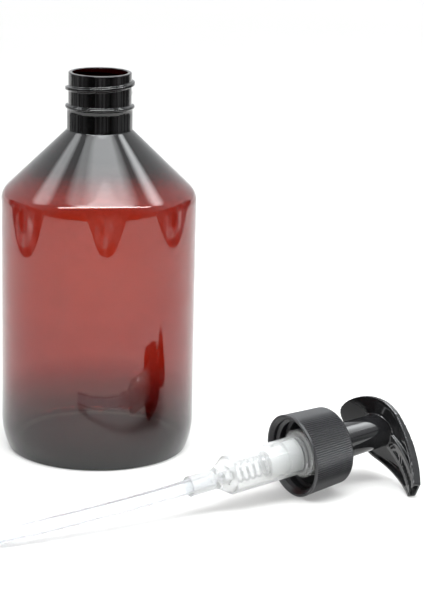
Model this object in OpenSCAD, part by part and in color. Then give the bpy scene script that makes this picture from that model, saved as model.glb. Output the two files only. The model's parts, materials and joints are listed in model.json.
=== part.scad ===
// Pump oil bottle: a 500 ml blown bottle with its lotion pump taken off and laid beside it.
// Millimetres. The bottle stands on z = 0 with its axis on +Z.
// The pump is drawn about its own axis, z = 0 at the plane that seals on the bottle's rim,
// its head towards +z and its nozzle towards +x, and is then laid in place as a whole.

/* [Bottle] */
// Outside diameter of the round body
body_d = 77.5; // [60:0.5:90]
// Height from the table to the rim
bottle_h = 152.7; // [120:0.1:200]
// Wall thickness of the blown body
body_wall = 0.7; // [0.4:0.1:1.5]
// Radius that turns the side into the shoulder
shoulder_round = 4.2; // [2:0.1:10]
// Radius of the long curve at the foot
heel_round = 31.8; // [15:0.1:36]
// Height at which the foot starts to curve in
heel_h = 13; // [8:0.5:25]
// Rise of the dome under the base
push_up = 4; // [1:0.5:8]

/* [Neck finish] */
// Outside diameter of the neck under the thread
neck_d = 24.9; // [22:0.1:30]
// Bore of the neck
neck_bore_d = 21.9; // [18:0.1:26]
// Diameter over the thread
thread_d = 27.4; // [24:0.1:34]
// Rise of the thread in one turn
thread_pitch = 4.23; // [2:0.01:6]
// Turns of thread on the neck
thread_turns = 1.45; // [1:0.05:2]
// Distance from the rim down to the transfer bead
bead_drop = 13.2; // [10:0.1:18]

/* [Pump] */
// Travel of the head
stroke = 12.5; // [5:0.5:13]
// Bore of the pump barrel
barrel_bore_d = 13.2; // [8:0.1:14]
// Outside diameter of the closure at its open edge
closure_d = 32.2; // [30:0.1:36]
// Depth of the closure's skirt below the sealing plane
skirt_h = 15.4; // [10:0.1:18]
// Fine grip ribs around the closure
rib_count = 110; // [60:1:140]
// Outside diameter of the dip tube
tube_d = 5.6; // [4:0.1:7]
// Bore of the dip tube
tube_bore_d = 4.2; // [2.5:0.1:5.5]
// Distance from the sealing plane to the tube's open end, measured along the tube
tube_reach = 146; // [100:0.5:160]
// Radius of the set that the tube keeps from its coil
tube_bend_r = 320; // [100:10:2000]
// Direction of that set about the pump's axis
tube_bend_dir = 79.6; // [0:0.5:360]

/* [Head] */
// Radius of the round back of the palm plate
palm_r = 14; // [10:0.5:18]
// Reach of the nozzle from the pump's axis
nozzle_reach = 30.2; // [20:0.1:45]
// Angle at which each flank tapers to the nozzle
flank_angle = 19.5; // [10:0.1:30]
// Thickness of the palm plate
plate_wall = 1.2; // [0.8:0.1:2]
// Thickness of the palm plate's turned-down edge
rim_wall = 1.4; // [1:0.1:2.5]
// Width of the nozzle channel under the plate
channel_w = 7; // [4:0.1:8]

/* [Placing] */
// Where the pump is
pump_place = "beside"; // [beside:Laid beside the bottle, fitted:Screwed on the bottle]
// Direction the laid pump points, turned from +X
lie_angle = 30.3; // [0:0.1:360]
// Tilt of the laid pump, its tube end down
lie_tilt = 5; // [0:0.1:10]
// Roll of the nozzle about the laid pump's axis
nozzle_roll = -57.9; // [-180:0.1:180]
// Centre of the closure's open edge, to the bottle's right
lie_x = 74.1; // [50:0.1:150]
// Centre of the closure's open edge, to the bottle's front
lie_y = -63.2; // [-150:0.1:0]

/* [Hidden] */
$fn = 96;
body_r = body_d / 2;
neck_r = neck_d / 2;
neck_bore_r = neck_bore_d / 2;
thread_r = thread_d / 2;
bead_z = bottle_h - bead_drop;
root_r = neck_r + 0.5;
root_z = bottle_h - 22.7;
shoulder_z = root_z + root_r - body_r - shoulder_round * (sqrt(2) - 1);
closure_r = closure_d / 2;
barrel_r = barrel_bore_d / 2;
stem_r = 3.5;
running = 0.05;
flange_z = 1;
flange_top = 2.4;
deck_z = 2.5;
closure_top = 4.2;
floor_z = -44.5;
seat_z = -20.4;
tube_r = tube_d / 2;
ball_r = 2;
ball_z = -47.75;
palm_s = -0.9;
arch_join = -2;
rim_arch = [50, 7.5, 26.7, 20];
top_arch = [41.8, 11.2, 29.6, 30];
tip_lean = 18;
bend_z = -63;
bend_turn = (tube_reach + bend_z) / tube_bend_r * 180 / PI;

// Puts a piece drawn about the pump's axis where the pump is.
module placed() {
  if (pump_place == "fitted")
    translate([0, 0, bottle_h]) rotate([0, 0, -90]) children();
  else
    translate([lie_x + skirt_h * cos(lie_tilt) * cos(lie_angle),
               lie_y + skirt_h * cos(lie_tilt) * sin(lie_angle),
               closure_r * cos(lie_tilt) + skirt_h * sin(lie_tilt)])
      rotate([0, 90 - lie_tilt, lie_angle]) rotate([0, 0, nozzle_roll]) children();
}

// One section of a thread: its root, its two crest corners and its root again.
function thread_section(a, z, root, crest, half, tip) =
  [[root * cos(a), root * sin(a), z - half],
   [crest * cos(a), crest * sin(a), z - tip],
   [crest * cos(a), crest * sin(a), z + tip],
   [root * cos(a), root * sin(a), z + half]];

// A right-handed thread that fades into the wall at both ends.
module thread(root, crest, z, start, turns, half, tip) {
  steps = ceil(turns * 60);
  fade = 7;
  points = [for (i = [0:steps])
    let (grow = min(1, i / fade, (steps - i) / fade),
         high = root + (crest - root) * (0.1 + 0.9 * sin(90 * grow)),
         a = start + i * turns * 360 / steps)
    each thread_section(a, z + thread_pitch * turns * i / steps, root, high, half, tip)];
  sides = [for (i = [0:steps - 1]) for (k = [0:3])
    let (p = 4 * i + k, q = 4 * i + (k + 1) % 4)
    each [[p, q, p + 4], [q, q + 4, p + 4]]];
  last = 4 * steps;
  ends = [[3, 2, 1, 0], [last, last + 1, last + 2, last + 3]];
  polyhedron(points, crest > root ? concat(ends, sides) : [for (f = concat(ends, sides))
    [for (k = [len(f) - 1:-1:0]) f[k]]], convexity = 6);
}

// Half section of the bottle's body, drawn in by g.
module body_section(g, base) {
  r = body_r - g;
  round = shoulder_round - g;
  corner_s = body_r - shoulder_round;
  throat = root_r - g * sqrt(2);
  top_r = g > 0 ? neck_bore_r : root_r;
  heel_s = body_r - heel_round;
  foot = 1.2;
  translate([0, heel_h]) square([r, shoulder_z - heel_h]);
  intersection() {
    translate([corner_s, shoulder_z]) circle(r = round);
    translate([0, heel_h]) square([r, bottle_h]);
  }
  polygon([[0, shoulder_z - 1], [corner_s, shoulder_z - 1],
           [corner_s + round * sqrt(0.5), shoulder_z + round * sqrt(0.5)],
           [top_r, root_z + throat - top_r], [0, root_z + throat - top_r]]);
  if (base > 0) {
    intersection() {
      translate([heel_s, heel_h]) circle(r = heel_round - g);
      translate([0, base]) square([r, heel_h + 1 - base]);
    }
  } else {
    lean = asin((heel_h - foot) / (heel_round - foot));
    foot_s = heel_s + (heel_round - foot) * cos(lean);
    intersection() {
      translate([heel_s, heel_h]) circle(r = heel_round);
      translate([0, heel_h - heel_round * sin(lean)])
        square([r, heel_round * sin(lean) + 1]);
    }
    translate([foot_s, foot]) circle(r = foot);
    square([foot_s, foot]);
  }
}

// Half section of the bottle before its thread.
module bottle_section() {
  dome_r = (31 * 31 + push_up * push_up) / (2 * push_up);
  difference() {
    union() {
      body_section(0, 0);
      translate([0, root_z]) square([root_r, bead_z - root_z]);
      translate([0, bead_z - 1]) square([thread_r - 0.75, 1.5]);
      translate([thread_r - 0.75, bead_z - 0.25]) circle(r = 0.75);
      translate([0, bead_z]) square([neck_r, bottle_h - bead_z - 0.4]);
      square([neck_r - 0.4, bottle_h]);
      translate([neck_r - 0.4, bottle_h - 0.4]) circle(r = 0.4);
    }
    difference() {
      body_section(body_wall, 1.6);
      translate([0, push_up - dome_r]) circle(r = dome_r + 1.4, $fn = 360);
    }
    translate([0, root_z]) square([neck_bore_r, bottle_h]);
    translate([0, push_up - dome_r]) circle(r = dome_r, $fn = 360);
  }
}

module bottle() {
  color([0.36, 0.08, 0.03, 0.75]) {
    rotate_extrude() intersection() {
      bottle_section();
      square([body_r + 1, bottle_h + 1]);
    }
    thread(neck_r - 0.3, thread_r, bottle_h - 8.45, 0, thread_turns, 1.25, 0.45);
  }
}

module closure() {
  edge_h = 0.9;
  round = 3;
  height = skirt_h + closure_top;
  slim = 0.07;
  rib_h = 0.38;
  shoulder_r = closure_r * (1 - slim * (height - round) / height);
  color([0.15, 0.15, 0.16]) placed() {
    difference() {
      union() {
        intersection() {
          rotate_extrude() {
            polygon([[0, -skirt_h], [closure_r + 0.05, -skirt_h],
                     [shoulder_r + 0.05, closure_top - round], [0, closure_top - round]]);
            square([shoulder_r - round, closure_top]);
            intersection() {
              translate([shoulder_r - round + 0.05, closure_top - round]) circle(r = round);
              translate([0, -1]) square([closure_r, closure_top + 1]);
            }
          }
          translate([0, 0, -skirt_h]) linear_extrude(height, scale = 1 - slim)
            polygon([for (i = [0:2 * rib_count - 1])
              let (r = closure_r - 0.03 - (i % 2) * rib_h, a = i * 180 / rib_count)
              [r * cos(a), r * sin(a)]]);
        }
        translate([0, 0, -skirt_h]) cylinder(r = closure_r, h = edge_h);
      }
      translate([0, 0, -skirt_h - 1]) cylinder(r = thread_r + 0.3, h = skirt_h);
      translate([0, 0, -skirt_h - 0.1])
        cylinder(r1 = closure_r - 0.8, r2 = thread_r + 0.2, h = 1.5);
      translate([0, 0, -1.1]) cylinder(r = neck_r + 0.55, h = deck_z + 1.1);
      cylinder(r = 9.4 + running, h = closure_top + 1);
    }
    thread(thread_r + 0.5, neck_r + 0.4, -13.1, 40, 2.05, 1.25, 0.45);
  }
}

module gasket() {
  color([0.88, 0.88, 0.86]) placed()
    difference() {
      cylinder(r = neck_r - 0.05, h = flange_z);
      translate([0, 0, -1]) cylinder(r = 9.45, h = flange_z + 2);
    }
}

// The ring that snaps into the housing and guides the head's sleeve and the stem.
module guide_ring() {
  color([0.09, 0.09, 0.1]) placed()
    rotate_extrude() difference() {
      union() {
        translate([stem_r + running, -10.9]) square([8.3 - stem_r - running, flange_top + 10.9]);
        translate([7.35, flange_top]) square([9.4 - 7.35, 2.1]);
      }
      translate([0, -9.4]) square([7.35, 20]);
    }
}

module housing() {
  color([0.82, 0.83, 0.82, 0.8]) placed()
    difference() {
      rotate_extrude() difference() {
        polygon([[0, flange_top], [11.9, flange_top], [11.9, flange_z], [9.3, flange_z],
                 [9.3, -12.2], [8.3, -12.6], [8.3, -13.6], [7.5, -14], [7.5, floor_z],
                 [4.6, -49], [3.9, -51], [3.9, -62], [0, -62]]);
        translate([0, -11]) square([8.35, 20]);
        polygon([[0, floor_z], [barrel_r, floor_z], [barrel_r, -11.6], [barrel_r + 0.6, -11],
                 [0, -11]]);
        polygon([[0, -52], [0, floor_z + 0.1], [2.4, floor_z + 0.1], [2.4, -48.2], [1.3, -49.3],
                 [1.3, -52]]);
        translate([0, -63]) square([tube_r, 11.5]);
      }
      translate([0, 0, -17]) rotate([0, 90, 0]) cylinder(r = 0.5, h = 12);
    }
  color([0.82, 0.83, 0.82, 0.8]) placed()
    difference() {
      translate([0, 0, floor_z - 0.5]) cylinder(r = 3.1, h = 1.5);
      translate([0, 0, floor_z - 1]) cylinder(r = 2.4, h = 1.4);
      translate([0, 0, floor_z - 1]) cylinder(r = 1.75, h = 3);
      for (a = [0, 90]) rotate([0, 0, a])
        translate([-4, -0.6, floor_z + 0.01]) cube([8, 1.2, 2]);
    }
}

module inlet_ball() {
  color([0.75, 0.76, 0.78]) placed()
    translate([0, 0, ball_z]) sphere(r = ball_r);
}

// Round steel wire wound in a right-handed coil with closed ends.
module spring() {
  wire = 0.45;
  coil_r = 3.9;
  low = floor_z + wire + 0.02;
  high = seat_z - 1.6 - wire - 0.02;
  turns = 9;
  steps = turns * 24;
  sides = 10;
  function rise(t) = t < 1 ? 2 * wire * t
    : t > turns - 1 ? high - low - 2 * wire * (turns - t)
    : 2 * wire + (high - low - 4 * wire) * (t - 1) / (turns - 2);
  points = [for (i = [0:steps]) let (t = i * turns / steps, a = 360 * t)
    for (k = [0:sides - 1]) let (b = 360 * k / sides, r = coil_r + wire * cos(b))
    [r * cos(a), r * sin(a), low + rise(t) + wire * sin(b)]];
  walls = [for (i = [0:steps - 1]) for (k = [0:sides - 1])
    let (p = sides * i + k, q = sides * i + (k + 1) % sides)
    each [[p, q, p + sides], [q, q + sides, p + sides]]];
  ends = [[for (k = [sides - 1:-1:0]) k], [for (k = [0:sides - 1]) sides * steps + k]];
  color([0.62, 0.63, 0.65]) placed() polyhedron(points, concat(ends, walls), convexity = 12);
}

module piston() {
  low = seat_z + 0.05;
  color([0.9, 0.9, 0.88]) placed() rotate_extrude() {
    translate([2.5 + running, low]) square([1.05, 6.3]);
    translate([3.55, low + 2.6]) square([2, 1.1]);
    translate([5.5, low + 0.4]) square([0.7, 5.6]);
    translate([5.5, low + 0.4]) square([barrel_r - running - 5.5, 0.8]);
    translate([5.5, low + 5.2]) square([barrel_r - running - 5.5, 0.8]);
  }
}

// The plug pressed into the stem: the piston closes on it and the spring pushes it.
module piston_seat() {
  color([0.86, 0.86, 0.84]) placed() {
    intersection() {
      translate([0, 0, seat_z - 0.5]) cylinder(r = 1.7, h = 5.5);
      translate([-1, -2, seat_z - 0.5]) cube([2, 4, 6]);
    }
    translate([0, 0, seat_z - 1.6]) cylinder(r = 5.3, h = 1.6);
    translate([0, 0, seat_z - 4.1]) cylinder(r = 3.3, h = 3);
    difference() {
      translate([0, 0, seat_z - 7.6]) cylinder(r = 5.3, h = 6.5);
      translate([0, 0, seat_z - 8.6]) cylinder(r = 4.5, h = 7);
    }
  }
}

module stem() {
  color([0.12, 0.12, 0.13]) placed() difference() {
    union() {
      translate([0, 0, seat_z]) cylinder(r = 2.5, h = 10);
      translate([0, 0, -12.6]) cylinder(r = 4.8, h = 1.65);
      translate([0, 0, -12.6]) cylinder(r = stem_r, h = 29.6);
    }
    translate([0, 0, seat_z - 1]) cylinder(r = 1.7, h = 40);
    for (a = [0, 90]) rotate([0, 90, a])
      translate([-seat_z - 0.65, 0, -4]) cylinder(r = 0.55, h = 8, $fn = 24);
  }
}

// Everything under an arch in side section: a front arc and a back arc that meet smoothly
// on the line through both their centres.
// The arch is [front radius, front centre, height of its top, back radius], raised by g.
module under(arch, g) {
  lean = asin((arch[1] - arch_join) / arch[0]);
  translate([arch[1], arch[2] - arch[0]]) rotate(lean) {
    intersection() {
      translate([0, arch[0] - arch[3]]) circle(r = arch[3] + g, $fn = 180);
      translate([-80, -80]) square([80, 160]);
    }
    intersection() {
      circle(r = arch[0] + g, $fn = 180);
      translate([0, -80]) square([80, 160]);
    }
  }
}

// A slab w to each side of the middle, under the top arch and above the rim's arch.
module slab(w, above, below) {
  rotate([90, 0, 0]) translate([0, 0, -w]) linear_extrude(2 * w) difference() {
    under(top_arch, -below);
    under(rim_arch, above);
  }
}

// Outline of the palm plate seen along the pump's axis, drawn in by g.
module palm(g) {
  flank = palm_r * cos(3) - g;
  start = [palm_s + flank * sin(flank_angle), flank * cos(flank_angle)];
  end_s = nozzle_reach + 1.5 - g;
  end_w = start[1] - (end_s - start[0]) * tan(flank_angle);
  translate([palm_s, 0]) circle(r = palm_r - g, $fn = 180);
  polygon([start, [end_s, end_w], [end_s, -end_w], [start[0], -start[1]]]);
}

module head() {
  sleeve_low = 3.6;
  channel = channel_w / 2;
  tip_low = rim_arch[2] - rim_arch[0] + sqrt(pow(rim_arch[0], 2) - pow(nozzle_reach - rim_arch[1], 2));
  color([0.05, 0.05, 0.055]) placed() difference() {
    union() {
      difference() {
        intersection() {
          slab(20, 0, 0);
          linear_extrude(40) palm(0);
        }
        intersection() {
          slab(20, -2, plate_wall);
          linear_extrude(40) palm(rim_wall);
        }
      }
      intersection() {
        slab(channel, 0.3, 0.5);
        translate([2, -5, 0]) cube([nozzle_reach - 1, 10, 40]);
      }
      intersection() {
        union() {
          difference() {
            translate([0, 0, sleeve_low]) cylinder(r1 = 7.2, r2 = 6.6, h = 25);
            translate([0, 0, sleeve_low - 1]) cylinder(r = 5.6, h = 20);
          }
          translate([0, 0, sleeve_low]) cylinder(r = 4.9, h = 25);
        }
        rotate([90, 0, 0]) translate([0, 0, -20]) linear_extrude(40) under(top_arch, -0.4);
      }
    }
    translate([0, 0, sleeve_low - 1]) cylinder(r = stem_r + running, h = 14.6);
    translate([0, 0, sleeve_low]) cylinder(r = 1.9, h = 23.2);
    translate([0, -1.6, 25.2]) cube([4, 3.2, 2]);
    intersection() {
      slab(1.6, 0.5, 1);
      translate([2, -5, 0]) cube([nozzle_reach, 10, 40]);
    }
    intersection() {
      slab(2.7, 0.7, 0.9);
      translate([nozzle_reach - 2.4, -5, 0]) cube([6, 10, 40]);
    }
    translate([nozzle_reach, -10, tip_low]) rotate([0, tip_lean, 0]) cube([10, 20, 20]);
    translate([nozzle_reach, -10, tip_low - 10]) cube([10, 20, 10]);
  }
}

// The tube pressed into the housing's socket, with the slight set it keeps from the coil.
module dip_tube() {
  module ring() {
    difference() {
      circle(r = tube_r);
      circle(r = tube_bore_d / 2);
    }
  }
  color([0.9, 0.91, 0.9, 0.6]) placed() rotate([0, 0, tube_bend_dir - nozzle_roll - 180]) {
    translate([0, 0, bend_z]) linear_extrude(-51.6 - bend_z) ring();
    translate([-tube_bend_r, 0, bend_z]) rotate([-90, 0, 0])
      rotate_extrude(angle = bend_turn, $fn = 720) translate([tube_bend_r, 0]) ring();
  }
}

bottle();
closure();
gasket();
guide_ring();
housing();
inlet_ball();
spring();
piston();
piston_seat();
stem();
head();
dip_tube();
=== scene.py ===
import json
import math

import bmesh
import bpy
from mathutils import Matrix, Vector


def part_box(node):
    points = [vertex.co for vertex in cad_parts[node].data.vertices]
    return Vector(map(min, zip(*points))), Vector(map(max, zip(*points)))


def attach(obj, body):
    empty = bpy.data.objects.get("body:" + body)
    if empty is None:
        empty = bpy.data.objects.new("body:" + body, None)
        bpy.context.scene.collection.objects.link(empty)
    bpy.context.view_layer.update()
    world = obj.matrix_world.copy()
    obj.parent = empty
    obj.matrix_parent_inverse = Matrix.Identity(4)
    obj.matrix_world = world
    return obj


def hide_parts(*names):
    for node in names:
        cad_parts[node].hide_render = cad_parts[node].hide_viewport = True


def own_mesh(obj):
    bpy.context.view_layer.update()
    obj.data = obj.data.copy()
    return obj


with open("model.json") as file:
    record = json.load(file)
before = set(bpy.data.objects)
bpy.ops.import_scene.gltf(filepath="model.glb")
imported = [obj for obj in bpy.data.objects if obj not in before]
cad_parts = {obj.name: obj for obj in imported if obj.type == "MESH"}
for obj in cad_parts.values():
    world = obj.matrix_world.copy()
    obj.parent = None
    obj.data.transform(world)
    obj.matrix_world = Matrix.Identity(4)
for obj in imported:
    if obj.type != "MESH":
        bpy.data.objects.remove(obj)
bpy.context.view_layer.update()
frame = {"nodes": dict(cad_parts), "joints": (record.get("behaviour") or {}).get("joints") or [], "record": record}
nodes = frame["nodes"]
record = frame["record"]
scene = bpy.context.scene
pi = math.pi
MM, PER_M = 0.001, 1000         # a millimetre in metres, and millimetres in a metre

# ---------------------------------------------------------------- camera, at the photo's viewing angle
EYE = (0.0, -0.8408, 0.2840)
YAW, PITCH, ROLL = math.radians(3.12), math.radians(14.86), math.radians(1.26)
forward = Vector((math.sin(YAW) * math.cos(PITCH), math.cos(YAW) * math.cos(PITCH), -math.sin(PITCH)))
right = forward.cross(Vector((0, 0, 1))).normalized()
up = right.cross(forward)
right, up = (math.cos(ROLL) * right + math.sin(ROLL) * up,
             math.cos(ROLL) * up - math.sin(ROLL) * right)
camera = bpy.data.objects.new("camera", bpy.data.cameras.new("camera"))
scene.collection.objects.link(camera)
camera.matrix_world = Matrix.Translation(EYE) @ Matrix((right, up, -forward)).transposed().to_4x4()
camera.data.lens = 129.46
camera.data.sensor_width = 36.0
camera.data.clip_start = 0.01
camera.data.clip_end = 60.0
scene.camera = camera
scene.view_settings.view_transform = "Standard"
scene.view_settings.look = "None"

# ---------------------------------------------------------------- the pump's own frame
# O is a point on the pump's axis. AXIS runs from it to the head, and NOZZLE, square to that, from it
# towards the nozzle, on whose side the gasket's mount is.
spin = next(j for j in frame["joints"] if j["name"] == "closure_spin")
O = Vector(spin["pos_m"])
AXIS = Vector(spin["axis"]).normalized()
side = next(m for m in record["mounts"] if m["name"] == "gasket_face")
NOZZLE = Vector(side["pos_m"]) - O
NOZZLE = (NOZZLE - NOZZLE.dot(AXIS) * AXIS).normalized()
ACROSS = AXIS.cross(NOZZLE)


def pump_point(x, y, z):
    """The place, in metres, of a point given in millimetres in the pump's own frame."""
    return O + (NOZZLE * x + ACROSS * y + AXIS * z) * MM


# ---------------------------------------------------------------- node helpers
class Nodes:
    """A material's or world's node tree, with short ways to add and join nodes."""

    def __init__(self, owner):
        owner.use_nodes = True
        self.tree = owner.node_tree

    def add(self, kind, **values):
        """A new node. A name in values is one of its settings, or else an input, with _ for a space."""
        node = self.tree.nodes.new(kind)
        for key, value in values.items():
            if hasattr(node, key):
                setattr(node, key, value)
            else:
                node.inputs[key.replace("_", " ")].default_value = value
        return node

    def join(self, source, target):
        self.tree.links.new(source, target)

    def coordinate(self, kind, axis):
        place = self.add("ShaderNodeTexCoord")
        split = self.add("ShaderNodeSeparateXYZ")
        self.join(place.outputs[kind], split.inputs[0])
        return split.outputs[axis]

    def between(self, factor, low, high, start=0.35, end=0.65, kind="LINEAR"):
        """From low, where factor is start, to high, where it is end. Noise is mostly 0.35 to 0.65."""
        ramp = self.add("ShaderNodeMapRange", interpolation_type=kind,
                        From_Min=start, From_Max=end, To_Min=low, To_Max=high)
        self.join(factor, ramp.inputs["Value"])
        return ramp.outputs["Result"]


class Surface(Nodes):
    """A material of one Principled shader, whose colour, gloss and bump come from noise."""

    def __init__(self, name, **values):
        self.material = bpy.data.materials.new(name)
        super().__init__(self.material)
        self.shader = self.tree.nodes["Principled BSDF"]
        self.output = self.tree.nodes["Material Output"]
        for key, value in values.items():
            self.shader.inputs[key.replace("_", " ")].default_value = value

    def feed(self, source, key):
        self.join(source, self.shader.inputs[key])

    def noise(self, scale, detail=3.0, stretch=None):
        source = self.add("ShaderNodeTexCoord").outputs["Object"]
        if stretch:
            mapping = self.add("ShaderNodeMapping", Scale=stretch)
            self.join(source, mapping.inputs["Vector"])
            source = mapping.outputs["Vector"]
        noise = self.add("ShaderNodeTexNoise", Scale=scale, Detail=detail, Roughness=0.55)
        self.join(source, noise.inputs["Vector"])
        return noise.outputs["Fac"]

    def blend(self, factor, first, second):
        mix = self.add("ShaderNodeMix", data_type="RGBA")
        self.join(factor, mix.inputs[0])
        mix.inputs[6].default_value = (*first, 1)
        mix.inputs[7].default_value = (*second, 1)
        return mix.outputs[2]

    def bump(self, height, strength, distance):
        bump = self.add("ShaderNodeBump", Strength=strength, Distance=distance)
        self.join(height, bump.inputs["Height"])
        self.feed(bump.outputs["Normal"], "Normal")


# ---------------------------------------------------------------- materials
AMBER_COLOUR, AMBER_DENSITY = (0.733, 0.19, 0.0, 1), 4800.0
# by height in millimetres, the share of each colour that the wall lets through besides what the amber
# takes: little at the unblown neck and at the thick foot, all of it at the blown wall
TINT_HEIGHT = 152.7
WALL_TINT = [(0.0, (0.35, 0.25, 0.25)), (12.0, (0.62, 0.52, 0.52)), (26.0, (0.92, 0.86, 0.86)),
             (36.0, (0.89, 0.83, 0.82)), (48.0, (0.93, 0.87, 0.86)), (64.0, (1.0, 1.0, 1.0)),
             (104.0, (1.0, 1.0, 1.0)), (108.5, (0.80, 0.74, 0.74)), (112.5, (0.42, 0.34, 0.34)),
             (116.5, (0.13, 0.10, 0.10)), (121.0, (0.05, 0.04, 0.04)), (152.0, (0.05, 0.03, 0.03))]


def amber_plastic():
    n = Surface("amber_plastic", IOR=1.60, Transmission_Weight=1.0)
    n.feed(n.between(n.noise(60.0, 4.0), 0.012, 0.03), "Roughness")
    ramp = n.add("ShaderNodeValToRGB")
    n.join(n.between(n.coordinate("Object", "Z"), 0.0, 1.0, 0.0, TINT_HEIGHT * MM), ramp.inputs["Fac"])
    stops = ramp.color_ramp.elements
    while len(stops) < len(WALL_TINT):
        stops.new(0.5)
    for stop, (z, shade) in zip(stops, WALL_TINT):
        stop.position = z / TINT_HEIGHT
        stop.color = (*shade, 1)
    n.feed(ramp.outputs["Color"], "Base Color")
    n.bump(n.noise(45.0, 1.5, stretch=(1, 1, 0.35)), 0.05, 0.0006)
    absorb = n.add("ShaderNodeVolumeAbsorption", Color=AMBER_COLOUR, Density=AMBER_DENSITY)
    n.join(absorb.outputs["Volume"], n.output.inputs["Volume"])
    return n.material


def black_plastic(name, low, high, rough, grain, bump, coat=0.0):
    """Moulded black: its colour from low to high, its roughness in rough, grain the bump's scale."""
    n = Surface(name, IOR=1.5 + 0.1 * coat, Specular_IOR_Level=0.5, Coat_Weight=coat)
    n.feed(n.blend(n.noise(140.0, 4.0), low, high), "Base Color")
    n.feed(n.between(n.noise(grain * 0.4, 4.0), *rough), "Roughness")
    n.bump(n.noise(grain), bump, 0.0002)
    return n.material


def white_plastic(name, low, high, rough, through, ior=1.5):
    """Uncoloured plastic, of which the share through lets light pass."""
    n = Surface(name, IOR=ior, Transmission_Weight=through)
    n.feed(n.blend(n.noise(180.0), low, high), "Base Color")
    n.feed(n.between(n.noise(90.0), *rough), "Roughness")
    n.bump(n.noise(400.0, 2.0), 0.08, 0.0001)
    return n.material


def steel_wire():
    n = Surface("steel_wire", Metallic=1.0)
    n.feed(n.blend(n.noise(500.0), (0.36, 0.37, 0.38), (0.55, 0.55, 0.56)), "Base Color")
    n.feed(n.between(n.noise(900.0, 2.0), 0.18, 0.34), "Roughness")
    return n.material


amber = amber_plastic()
satin = black_plastic("black_satin", (0.021, 0.021, 0.023), (0.030, 0.030, 0.033),
                      (0.30, 0.42), 1600.0, 0.10)
gloss = black_plastic("black_gloss", (0.010, 0.010, 0.0105), (0.016, 0.016, 0.017),
                      (0.05, 0.10), 300.0, 0.02, 0.3)
liner = white_plastic("white_liner", (0.80, 0.80, 0.78), (0.88, 0.88, 0.86), (0.5, 0.65), 0.0)
milky = white_plastic("milky_plastic", (0.955, 0.965, 0.96), (0.98, 0.985, 0.98),
                      (0.12, 0.19), 0.79, 1.27)
natural = white_plastic("natural_plastic", (0.93, 0.94, 0.93), (0.97, 0.975, 0.97),
                        (0.35, 0.5), 0.30)
tube = white_plastic("clear_tube", (0.935, 0.95, 0.975), (0.96, 0.97, 0.985),
                     (0.12, 0.22), 0.88, 1.20)
steel = steel_wire()


def dress(obj, material):
    obj.data.materials.clear()
    obj.data.materials.append(material)


# ---------------------------------------------------------------- mesh helpers
def new_object(name, verts, faces, material):
    mesh = bpy.data.meshes.new(name)
    mesh.from_pydata([tuple(v) for v in verts], [], faces)
    obj = bpy.data.objects.new(name, mesh)
    scene.collection.objects.link(obj)
    dress(obj, material)
    return obj


def smooth_shade(mesh):
    mesh.polygons.foreach_set("use_smooth", [True] * len(mesh.polygons))


def new_piece(name, verts, faces, material, body, slot, *replaced):
    """A smooth closed piece of the object, whose faces may be given either way round."""
    piece = new_object(name, verts, faces, material)
    piece.data.validate()
    work = bmesh.new()
    work.from_mesh(piece.data)
    bmesh.ops.recalc_face_normals(work, faces=work.faces)
    work.to_mesh(piece.data)
    work.free()
    smooth_shade(piece.data)
    piece.data.update()
    finish_piece(piece, body, slot, *replaced)
    return piece


def finish_piece(piece, body, slot, *replaced):
    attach(piece, body)
    if replaced:
        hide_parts(*replaced)


def rounded(corners, steps=6):
    """A half section through corners of (r, z, fillet radius), its fillets drawn as arcs, each of
    which takes at most 0.49 of the straight on either side."""
    out = []
    for i, (r, z, fillet) in enumerate(corners):
        if fillet <= 0 or i in (0, len(corners) - 1):
            out.append((r, z))
            continue
        here = Vector((r, z))
        back, ahead = Vector(corners[i - 1][:2]) - here, Vector(corners[i + 1][:2]) - here
        before, after = back.normalized(), ahead.normalized()
        half = before.angle(after) / 2
        reach = min(fillet / math.tan(half), 0.49 * back.length, 0.49 * ahead.length)
        radius = reach * math.tan(half)
        centre = here + (before + after).normalized() * (radius / math.sin(half))
        start, end = here + before * reach - centre, here + after * reach - centre
        turn = start.angle_signed(end)
        for k in range(steps + 1):
            a = -turn * k / steps
            out.append((centre.x + start.x * math.cos(a) - start.y * math.sin(a),
                        centre.y + start.x * math.sin(a) + start.y * math.cos(a)))
    return out


def arc(cx, cz, radius, start, end, steps):
    """Points of a half section on a circle round (cx, cz), from start to end degrees."""
    turn = [math.radians(start + (end - start) * k / steps) for k in range(steps + 1)]
    return [(cx + radius * math.cos(a), cz + radius * math.sin(a)) for a in turn]


def revolved(section, count, grow):
    """Vertices and faces of a section turned about Z. Millimetres become metres, grow(angle, r, z)
    is added to each radius, and an end on the axis is closed to one point."""
    verts, rows = [], []
    for r, z in section:
        if r < 1e-6:
            rows.append([len(verts)] * count)
            verts.append(Vector((0, 0, z)) * MM)
            continue
        rows.append(list(range(len(verts), len(verts) + count)))
        for k in range(count):
            a = 2 * pi * k / count
            grown = r + grow(a, r, z)
            verts.append(Vector((grown * math.cos(a), grown * math.sin(a), z)) * MM)
    faces = []
    for low, high in zip(rows, rows[1:]):
        for k in range(count):
            m = (k + 1) % count
            face = [low[k], low[m], high[m], high[k]]
            face = [v for i, v in enumerate(face) if v not in face[:i]]
            if len(face) > 2:
                faces.append(face)
    return verts, faces


# ---------------------------------------------------------------- the bottle, in millimetres
low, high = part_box("bottle")
R = (high.x - low.x) / 2 * PER_M
H = high.z * PER_M
NECK, THREAD, BORE = 12.45, 13.7, 10.95                     # radii
ROOT, ROOT_Z, BEAD_Z = NECK + 0.5, H - 22.7, H - 13.2       # the neck's foot, and its bead
BEAD, BEAD_STEP, RIM, LIP = 0.75, 0.75, 0.4, 0.3            # radii of the bead, rim and lip
# the shoulder's radius and the height of its centre, 0.8 above that of a cone at 45 degrees
ROUND = 7.0
SHOULDER_Z = ROOT_Z + ROOT - R - ROUND * (math.sqrt(2) - 1) + 0.8
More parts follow.
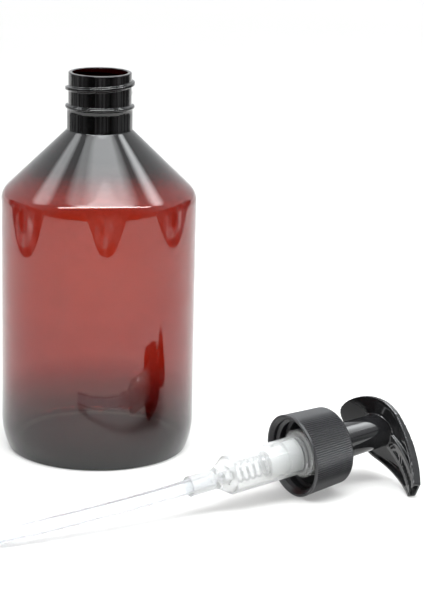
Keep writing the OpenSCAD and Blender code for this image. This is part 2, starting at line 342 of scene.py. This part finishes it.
# the cone runs from the neck's root to touch the shoulder's arc, where the arc has turned by LEAN
reach = Vector((ROOT - R + ROUND, ROOT_Z - SHOULDER_Z))
LEAN = math.atan2(reach.y, reach.x) - math.acos(ROUND / reach.length)
TOP = Vector((R - ROUND + ROUND * math.cos(LEAN), SHOULDER_Z + ROUND * math.sin(LEAN)))
SLOPE = (ROOT_Z - TOP.y) / (TOP.x - ROOT)
# the heel's arc and the height of its top, the foot's radius, and the hollow under the base
HEEL_R, HEEL_Z, FOOT = 31.8, 13.0, 1.2
DOME_R, DOME_RISE = 31.0, 4
DOME = (DOME_R ** 2 + DOME_RISE ** 2) / (2 * DOME_RISE)
# the blown wall, how it thickens at the cone's top and below THICK_Z, and the floor inside
WALL, CONE_WALL, CONE_MORE, CONE_END, CONE_POWER = 0.52, 0.55, 1.15, 1.35, 1.1
THICK_Z, THICK_SPAN, THICK_MORE = 34, 31, 0.9
FLOOR_R, FLOOR_Z, FLOOR, KNOB, KNOB_R = 33.2, 3.2, 1.5, 0.9, 7
# the thread's turns, pitch and lower start; its fade at each end in radians; its half width and flank
THREAD_TURNS, THREAD_PITCH, THREAD_START = 1.45, 4.23, H - 8.45
THREAD_FADE, THREAD_HALF, THREAD_FLANK = 0.73, 1.12, 0.72


def dome_z(r):
    return DOME_RISE - DOME + math.sqrt(DOME ** 2 - r ** 2)


def bottle_outside():
    lean = math.degrees(math.asin((HEEL_Z - FOOT) / (HEEL_R - FOOT)))
    foot_s = R - HEEL_R + (HEEL_R - FOOT) * math.cos(math.radians(lean))
    under = [(DOME_R * k / 12, dome_z(DOME_R * k / 12)) for k in range(13)]
    foot = arc(foot_s, FOOT, FOOT, -90, -lean, 6)
    heel = arc(R - HEEL_R, HEEL_Z, HEEL_R, -lean, 0, 16)[1:]
    wall = [(R, HEEL_Z + (SHOULDER_Z - HEEL_Z) * k / 12) for k in range(1, 12)]
    shoulder = arc(R - ROUND, SHOULDER_Z, ROUND, 0, math.degrees(LEAN), 16)
    cone = []
    for k in range(1, 14):
        r = TOP.x + (ROOT + 0.8 - TOP.x) * k / 14
        cone.append((r, ROOT_Z - SLOPE * (r - ROOT)))
    neck = rounded([(ROOT + 2, ROOT_Z - 2 * SLOPE, 0), (ROOT, ROOT_Z, 1.0), (ROOT, ROOT_Z + 4, 0)])[1:-1]
    stub = [(ROOT, ROOT_Z + 1.5 + (BEAD_Z - 2.6 - ROOT_Z) * k / 5) for k in range(6)]
    bead = arc(THREAD - BEAD, BEAD_Z - 0.25, BEAD, -84, 60, 12)
    bead += [(NECK + 0.15, BEAD_Z + 0.55), (NECK, BEAD_Z + BEAD_STEP)]
    fine = [(NECK, BEAD_Z + BEAD_STEP + (H - 0.5 - BEAD_Z - BEAD_STEP) * k / 84) for k in range(1, 85)]
    rim = arc(NECK - RIM, H - RIM, RIM, 0, 90, 6)
    return under + foot + heel + wall + shoulder + cone + neck + stub + bead + fine + rim


def bottle_inside():
    rim = arc(BORE + LIP, H - LIP, LIP, 90, 180, 5)
    bore = [(BORE, H - 0.5 - (H - 0.5 - ROOT_Z - 0.6) * k / 8) for k in range(1, 9)]
    cone = []
    for k in range(1, 23):
        s = k / 22
        r = BORE + 0.4 + (TOP.x - 0.45 - BORE - 0.4) * s
        thick = CONE_WALL + CONE_MORE * max(0.0, 1 - s * CONE_END) ** CONE_POWER
        cone.append((r, ROOT_Z - SLOPE * (r - ROOT) - thick * math.hypot(1, SLOPE)))
    shoulder = arc(R - ROUND, SHOULDER_Z, ROUND - WALL, math.degrees(LEAN) - 3, 0, 14)
    wall = [(R - WALL, SHOULDER_Z - (SHOULDER_Z - THICK_Z) * k / 10) for k in range(1, 11)]
    low_wall = []
    for k in range(1, 27):
        z = THICK_Z - (THICK_Z - FLOOR_Z) * k / 26
        thick = WALL + THICK_MORE * ((THICK_Z - z) / THICK_SPAN) ** 2
        outer = R if z > HEEL_Z else R - HEEL_R + math.sqrt(HEEL_R ** 2 - (HEEL_Z - z) ** 2)
        low_wall.append((outer - thick, z))
    floor = []
    for k in range(1, 15):
        r = FLOOR_R * (1 - k / 14)
        floor.append((r, dome_z(r) + FLOOR + KNOB * math.exp(-(r / KNOB_R) ** 2)))
    return rim + bore + cone + shoulder + wall + low_wall + floor


def smoothed(x):
    x = min(max(x, 0.0), 1.0)
    return x * x * (3 - 2 * x)


def thread_grow(a, r, z):
    """How far the thread stands out of the neck. It is 0 on every row but those above the bead."""
    if abs(r - NECK) > 0.02 or z < BEAD_Z + 0.8:
        return 0.0
    best = 0.0
    for lap in (0, 1):
        run = a + 2 * pi * lap
        left = 2 * pi * THREAD_TURNS - run
        if left < 0:
            continue
        centre = THREAD_START + THREAD_PITCH * run / (2 * pi)
        fade = min(1.0, run / THREAD_FADE, left / THREAD_FADE)
        rise = (THREAD - NECK) * math.sin(pi / 2 * fade)
        best = max(best, rise * smoothed((THREAD_HALF - abs(z - centre)) / THREAD_FLANK))
    return best


verts, faces = revolved(bottle_outside() + bottle_inside(), 240, thread_grow)
new_piece("bottle_blown_body", verts, faces, amber, "bottle", "amber_plastic", "bottle")

# ---------------------------------------------------------------- the pump's carried-over nodes
for name, material in (("closure", satin), ("gasket", liner), ("guide_ring", satin), ("housing", milky),
                       ("inlet_ball", steel), ("piston", natural), ("piston_seat", natural),
                       ("stem", gloss), ("dip_tube", tube)):
    dress(nodes[name], material)

# ---------------------------------------------------------------- the spring, a coil of fixed length between its seats
SPRING_FLOOR, SPRING_TOP = -44.5, -22.0
WIRE, COIL_R, TURNS, STEPS, SIDES = 0.45, 3.9, 9, 36, 12
SEAT_GAP = 0.02
# the first and last turns lie closed, a wire's thickness apart, and the others are open_pitch apart
closed = 2 * WIRE
open_pitch = (SPRING_TOP - SPRING_FLOOR - 3 * closed - 2 * SEAT_GAP) / (TURNS - 2)
verts, count = [], TURNS * STEPS + 1
for i in range(count):
    t = i / STEPS
    a = 2 * pi * t
    z = SPRING_FLOOR + WIRE + SEAT_GAP + closed * (min(t, 1.0) + max(t - TURNS + 1, 0.0)) \
        + open_pitch * min(max(t - 1, 0.0), TURNS - 2)
    for k in range(SIDES):
        b = 2 * pi * k / SIDES
        r = COIL_R + WIRE * math.cos(b)
        verts.append(pump_point(r * math.cos(a), r * math.sin(a), z + WIRE * math.sin(b)))
faces = []
for i in range(count - 1):
    for k in range(SIDES):
        m = (k + 1) % SIDES
        faces.append([SIDES * i + k, SIDES * i + m, SIDES * (i + 1) + m, SIDES * (i + 1) + k])
faces += [list(range(SIDES)), list(range(SIDES * (count - 1), SIDES * count))]
coil = new_piece("spring_coil", verts, faces, steel, "pump", "steel", "spring")
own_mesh(coil)

# ---------------------------------------------------------------- the head, with moulded edges
WELD, VOXEL = 1e-6, 0.00030
mesh = nodes["head"].data.copy()
head = bpy.data.objects.new("head_moulding", mesh)
scene.collection.objects.link(head)
work = bmesh.new()
work.from_mesh(mesh)
bmesh.ops.remove_doubles(work, verts=work.verts, dist=WELD)
work.to_mesh(mesh)
work.free()
remesh = head.modifiers.new("remesh", "REMESH")
remesh.mode = "VOXEL"
remesh.voxel_size = VOXEL
remesh.use_smooth_shade = True
smooth = head.modifiers.new("smooth", "SMOOTH")
smooth.factor = 0.5
smooth.iterations = 9
head_mesh = bpy.data.meshes.new_from_object(head.evaluated_get(bpy.context.evaluated_depsgraph_get()))
head.modifiers.clear()
head.data = head_mesh
smooth_shade(head_mesh)
dress(head, gloss)
finish_piece(head, "head", "black_gloss", "head")

# ---------------------------------------------------------------- floor and backdrop
# the floor glows everywhere, a painted light that pales the shadows cast on it, and glows more with distance, so
# that its far edge is lost in the pale backdrop
FLOOR_HALF, FLOOR_GLOW = 6, (0.30, 0.80)
n = Surface("studio_floor", Roughness=0.7, Specular_IOR_Level=0.2, Emission_Color=(1, 1, 1, 1))
place = n.add("ShaderNodeTexCoord")
far = n.add("ShaderNodeVectorMath", operation="LENGTH")
n.join(place.outputs["Object"], far.inputs[0])
n.feed(n.between(far.outputs["Value"], *FLOOR_GLOW, 0.9, 2.8), "Emission Strength")
n.feed(n.blend(n.noise(3.0, 2.0), (0.53, 0.522, 0.51), (0.55, 0.542, 0.528)), "Base Color")
floor = new_object("studio_floor", [(-FLOOR_HALF, -FLOOR_HALF, 0), (FLOOR_HALF, -FLOOR_HALF, 0),
                                    (FLOOR_HALF, FLOOR_HALF, 0), (-FLOOR_HALF, FLOOR_HALF, 0)],
                   [(0, 1, 2, 3)], n.material)

# the world is pale to the camera, and lights the object more from behind than from the front
world = bpy.data.worlds.new("studio")
scene.world = world
w = Nodes(world)
w.tree.nodes.clear()
fill = w.add("ShaderNodeBackground", Color=(0.97, 0.985, 1.0, 1))
w.join(w.between(w.coordinate("Generated", "Y"), 0.17, 0.98, -0.75, 0.15, "SMOOTHSTEP"),
       fill.inputs["Strength"])
pale = w.add("ShaderNodeBackground", Color=(0.97, 0.98, 0.98, 1), Strength=1.0)
seen = w.add("ShaderNodeLightPath")
mix = w.add("ShaderNodeMixShader")
w.join(seen.outputs["Is Camera Ray"], mix.inputs[0])
w.join(fill.outputs[0], mix.inputs[1])
w.join(pale.outputs[0], mix.inputs[2])
out = w.add("ShaderNodeOutputWorld")
w.join(mix.outputs[0], out.inputs["Surface"])

# ---------------------------------------------------------------- dark cards, which only reflections see
def flag(name, verts, faces, low, high, streaks=False):
    """A card from grey low to grey high: upwards along Y, or in streaks of noise."""
    m = Surface(name, Roughness=0.9, Specular_IOR_Level=0.0)
    if streaks:
        shade = m.between(m.noise(16.0, 1.0), 0.0, 1.0, 0.42, 0.62)
    else:
        shade = m.between(m.coordinate("Object", "Y"), 0.0, 1.0, -0.42, 0.05)
    m.feed(m.blend(shade, (low,) * 3, (high,) * 3), "Base Color")
    card = new_object(name, verts, faces, m.material)
    card.visible_camera = card.visible_diffuse = card.visible_shadow = False
    card.visible_transmission = card.visible_volume_scatter = False


def flag_ring(name, radius, height, start, end, count=48):
    """A bent card round the front of the object. Angles are from -Y, in degrees."""
    turn = [math.radians(start + (end - start) * k / count) for k in range(count + 1)]
    ring = [(radius * math.sin(a), -radius * math.cos(a), z) for a in turn for z in (0.001, height)]
    flag(name, ring, [(2 * k, 2 * k + 1, 2 * k + 3, 2 * k + 2) for k in range(count)], 0.03, 0.5)


def flag_disc(name, azimuth, distance, width, height, low, high, raised=0.0, count=40):
    """An upright card with rounded sides, of half size width by height, its foot raised off the floor."""
    a = math.radians(azimuth)
    middle = Vector((distance * math.sin(a), -distance * math.cos(a), height + raised))
    along = Vector((math.cos(a), math.sin(a), 0))
    rim = []
    for k in range(count):
        c, t = math.cos(2 * pi * k / count), math.sin(2 * pi * k / count)
        x, z = math.copysign(abs(c) ** 0.75, c), math.copysign(abs(t) ** 0.75, t)
        rim.append(middle + along * width * x + Vector((0, 0, height * 0.98 * z)))
    flag(name, rim, [tuple(range(count))], low, high, True)


# the ring is the dark room that the neck and the wall reflect. Each card makes one of the drip-shaped
# reflections under the shoulder, with a pale patch, and a dark core in that, in front of its foot.
flag_ring("flag_room", 0.53, 0.21, -112, 112)
for card, azimuth, distance, width in (("left", -92, 0.36, 0.25), ("front", 9, 0.385, 0.19),
                                       ("right", 96, 0.385, 0.29)):
    flag_disc("flag_" + card, azimuth, distance, width, 0.10, 0.08, 0.30)
    flag_disc("glow_" + card, azimuth - 3, distance - 0.005, width * 0.37, 0.0115, 0.35, 1.3, 0.008)
    flag_disc("core_" + card, azimuth - 3, distance - 0.010, width * 0.20, 0.011, 0.05, 0.45, 0.017)

# ---------------------------------------------------------------- light
LIGHT_COLOUR, EXPOSURE, LAYERS = (0.96, 0.985, 1.0), 0.76, 5
LIT_POINT = Vector((0.02, 0, 0.08))


def softbox(name, toward, distance, width, height, radiance, spin_deg=0.0, soft=0.0):
    """A rectangular light at distance from the lit point in direction toward. Its sides fade over
    soft times its width, as layers of growing width."""
    toward = Vector(toward).normalized()
    aim = (-toward).to_track_quat("-Z", "Y").to_matrix().to_4x4()
    turned = Matrix.Rotation(math.radians(spin_deg), 4, "Z")
    layers = LAYERS if soft else 1
    for k in range(layers):
        glow = EXPOSURE * radiance / layers
        data = bpy.data.lights.new(f"{name}_{k}", "AREA")
        data.shape = "RECTANGLE"
        data.size, data.size_y = width * (1 + soft * k / layers), height * (1 + 0.02 * k)
        data.energy = glow * pi * data.size * data.size_y
        data.color = LIGHT_COLOUR
        light = bpy.data.objects.new(f"{name}_{k}", data)
        scene.collection.objects.link(light)
        light.matrix_world = Matrix.Translation(LIT_POINT + toward * (distance + 0.004 * k)) @ aim @ turned


softbox("softbox_front", (0.06, -0.44, 0.90), 1.0, 1.9, 0.12, 22.0)
softbox("softbox_low", (0.04, -0.29, 0.957), 1.1, 0.80, 0.22, 9.5, soft=0.3)
softbox("softbox_top", (0.05, -0.20, 0.97), 1.1, 0.90, 0.62, 3.6, soft=0.3)
softbox("softbox_core", (0.13, -0.20, 0.97), 1.12, 0.34, 0.60, 5.6, soft=1.2)
softbox("softbox_left", (-0.60, 0.20, 0.77), 1.2, 0.20, 0.9, 4.4, 60, 1.3)
softbox("softbox_right", (0.57, 0.19, 0.78), 1.2, 0.10, 0.9, 8.2, -60, 2.8)

# ---------------------------------------------------------------- hand over
bpy.context.view_layer.update()
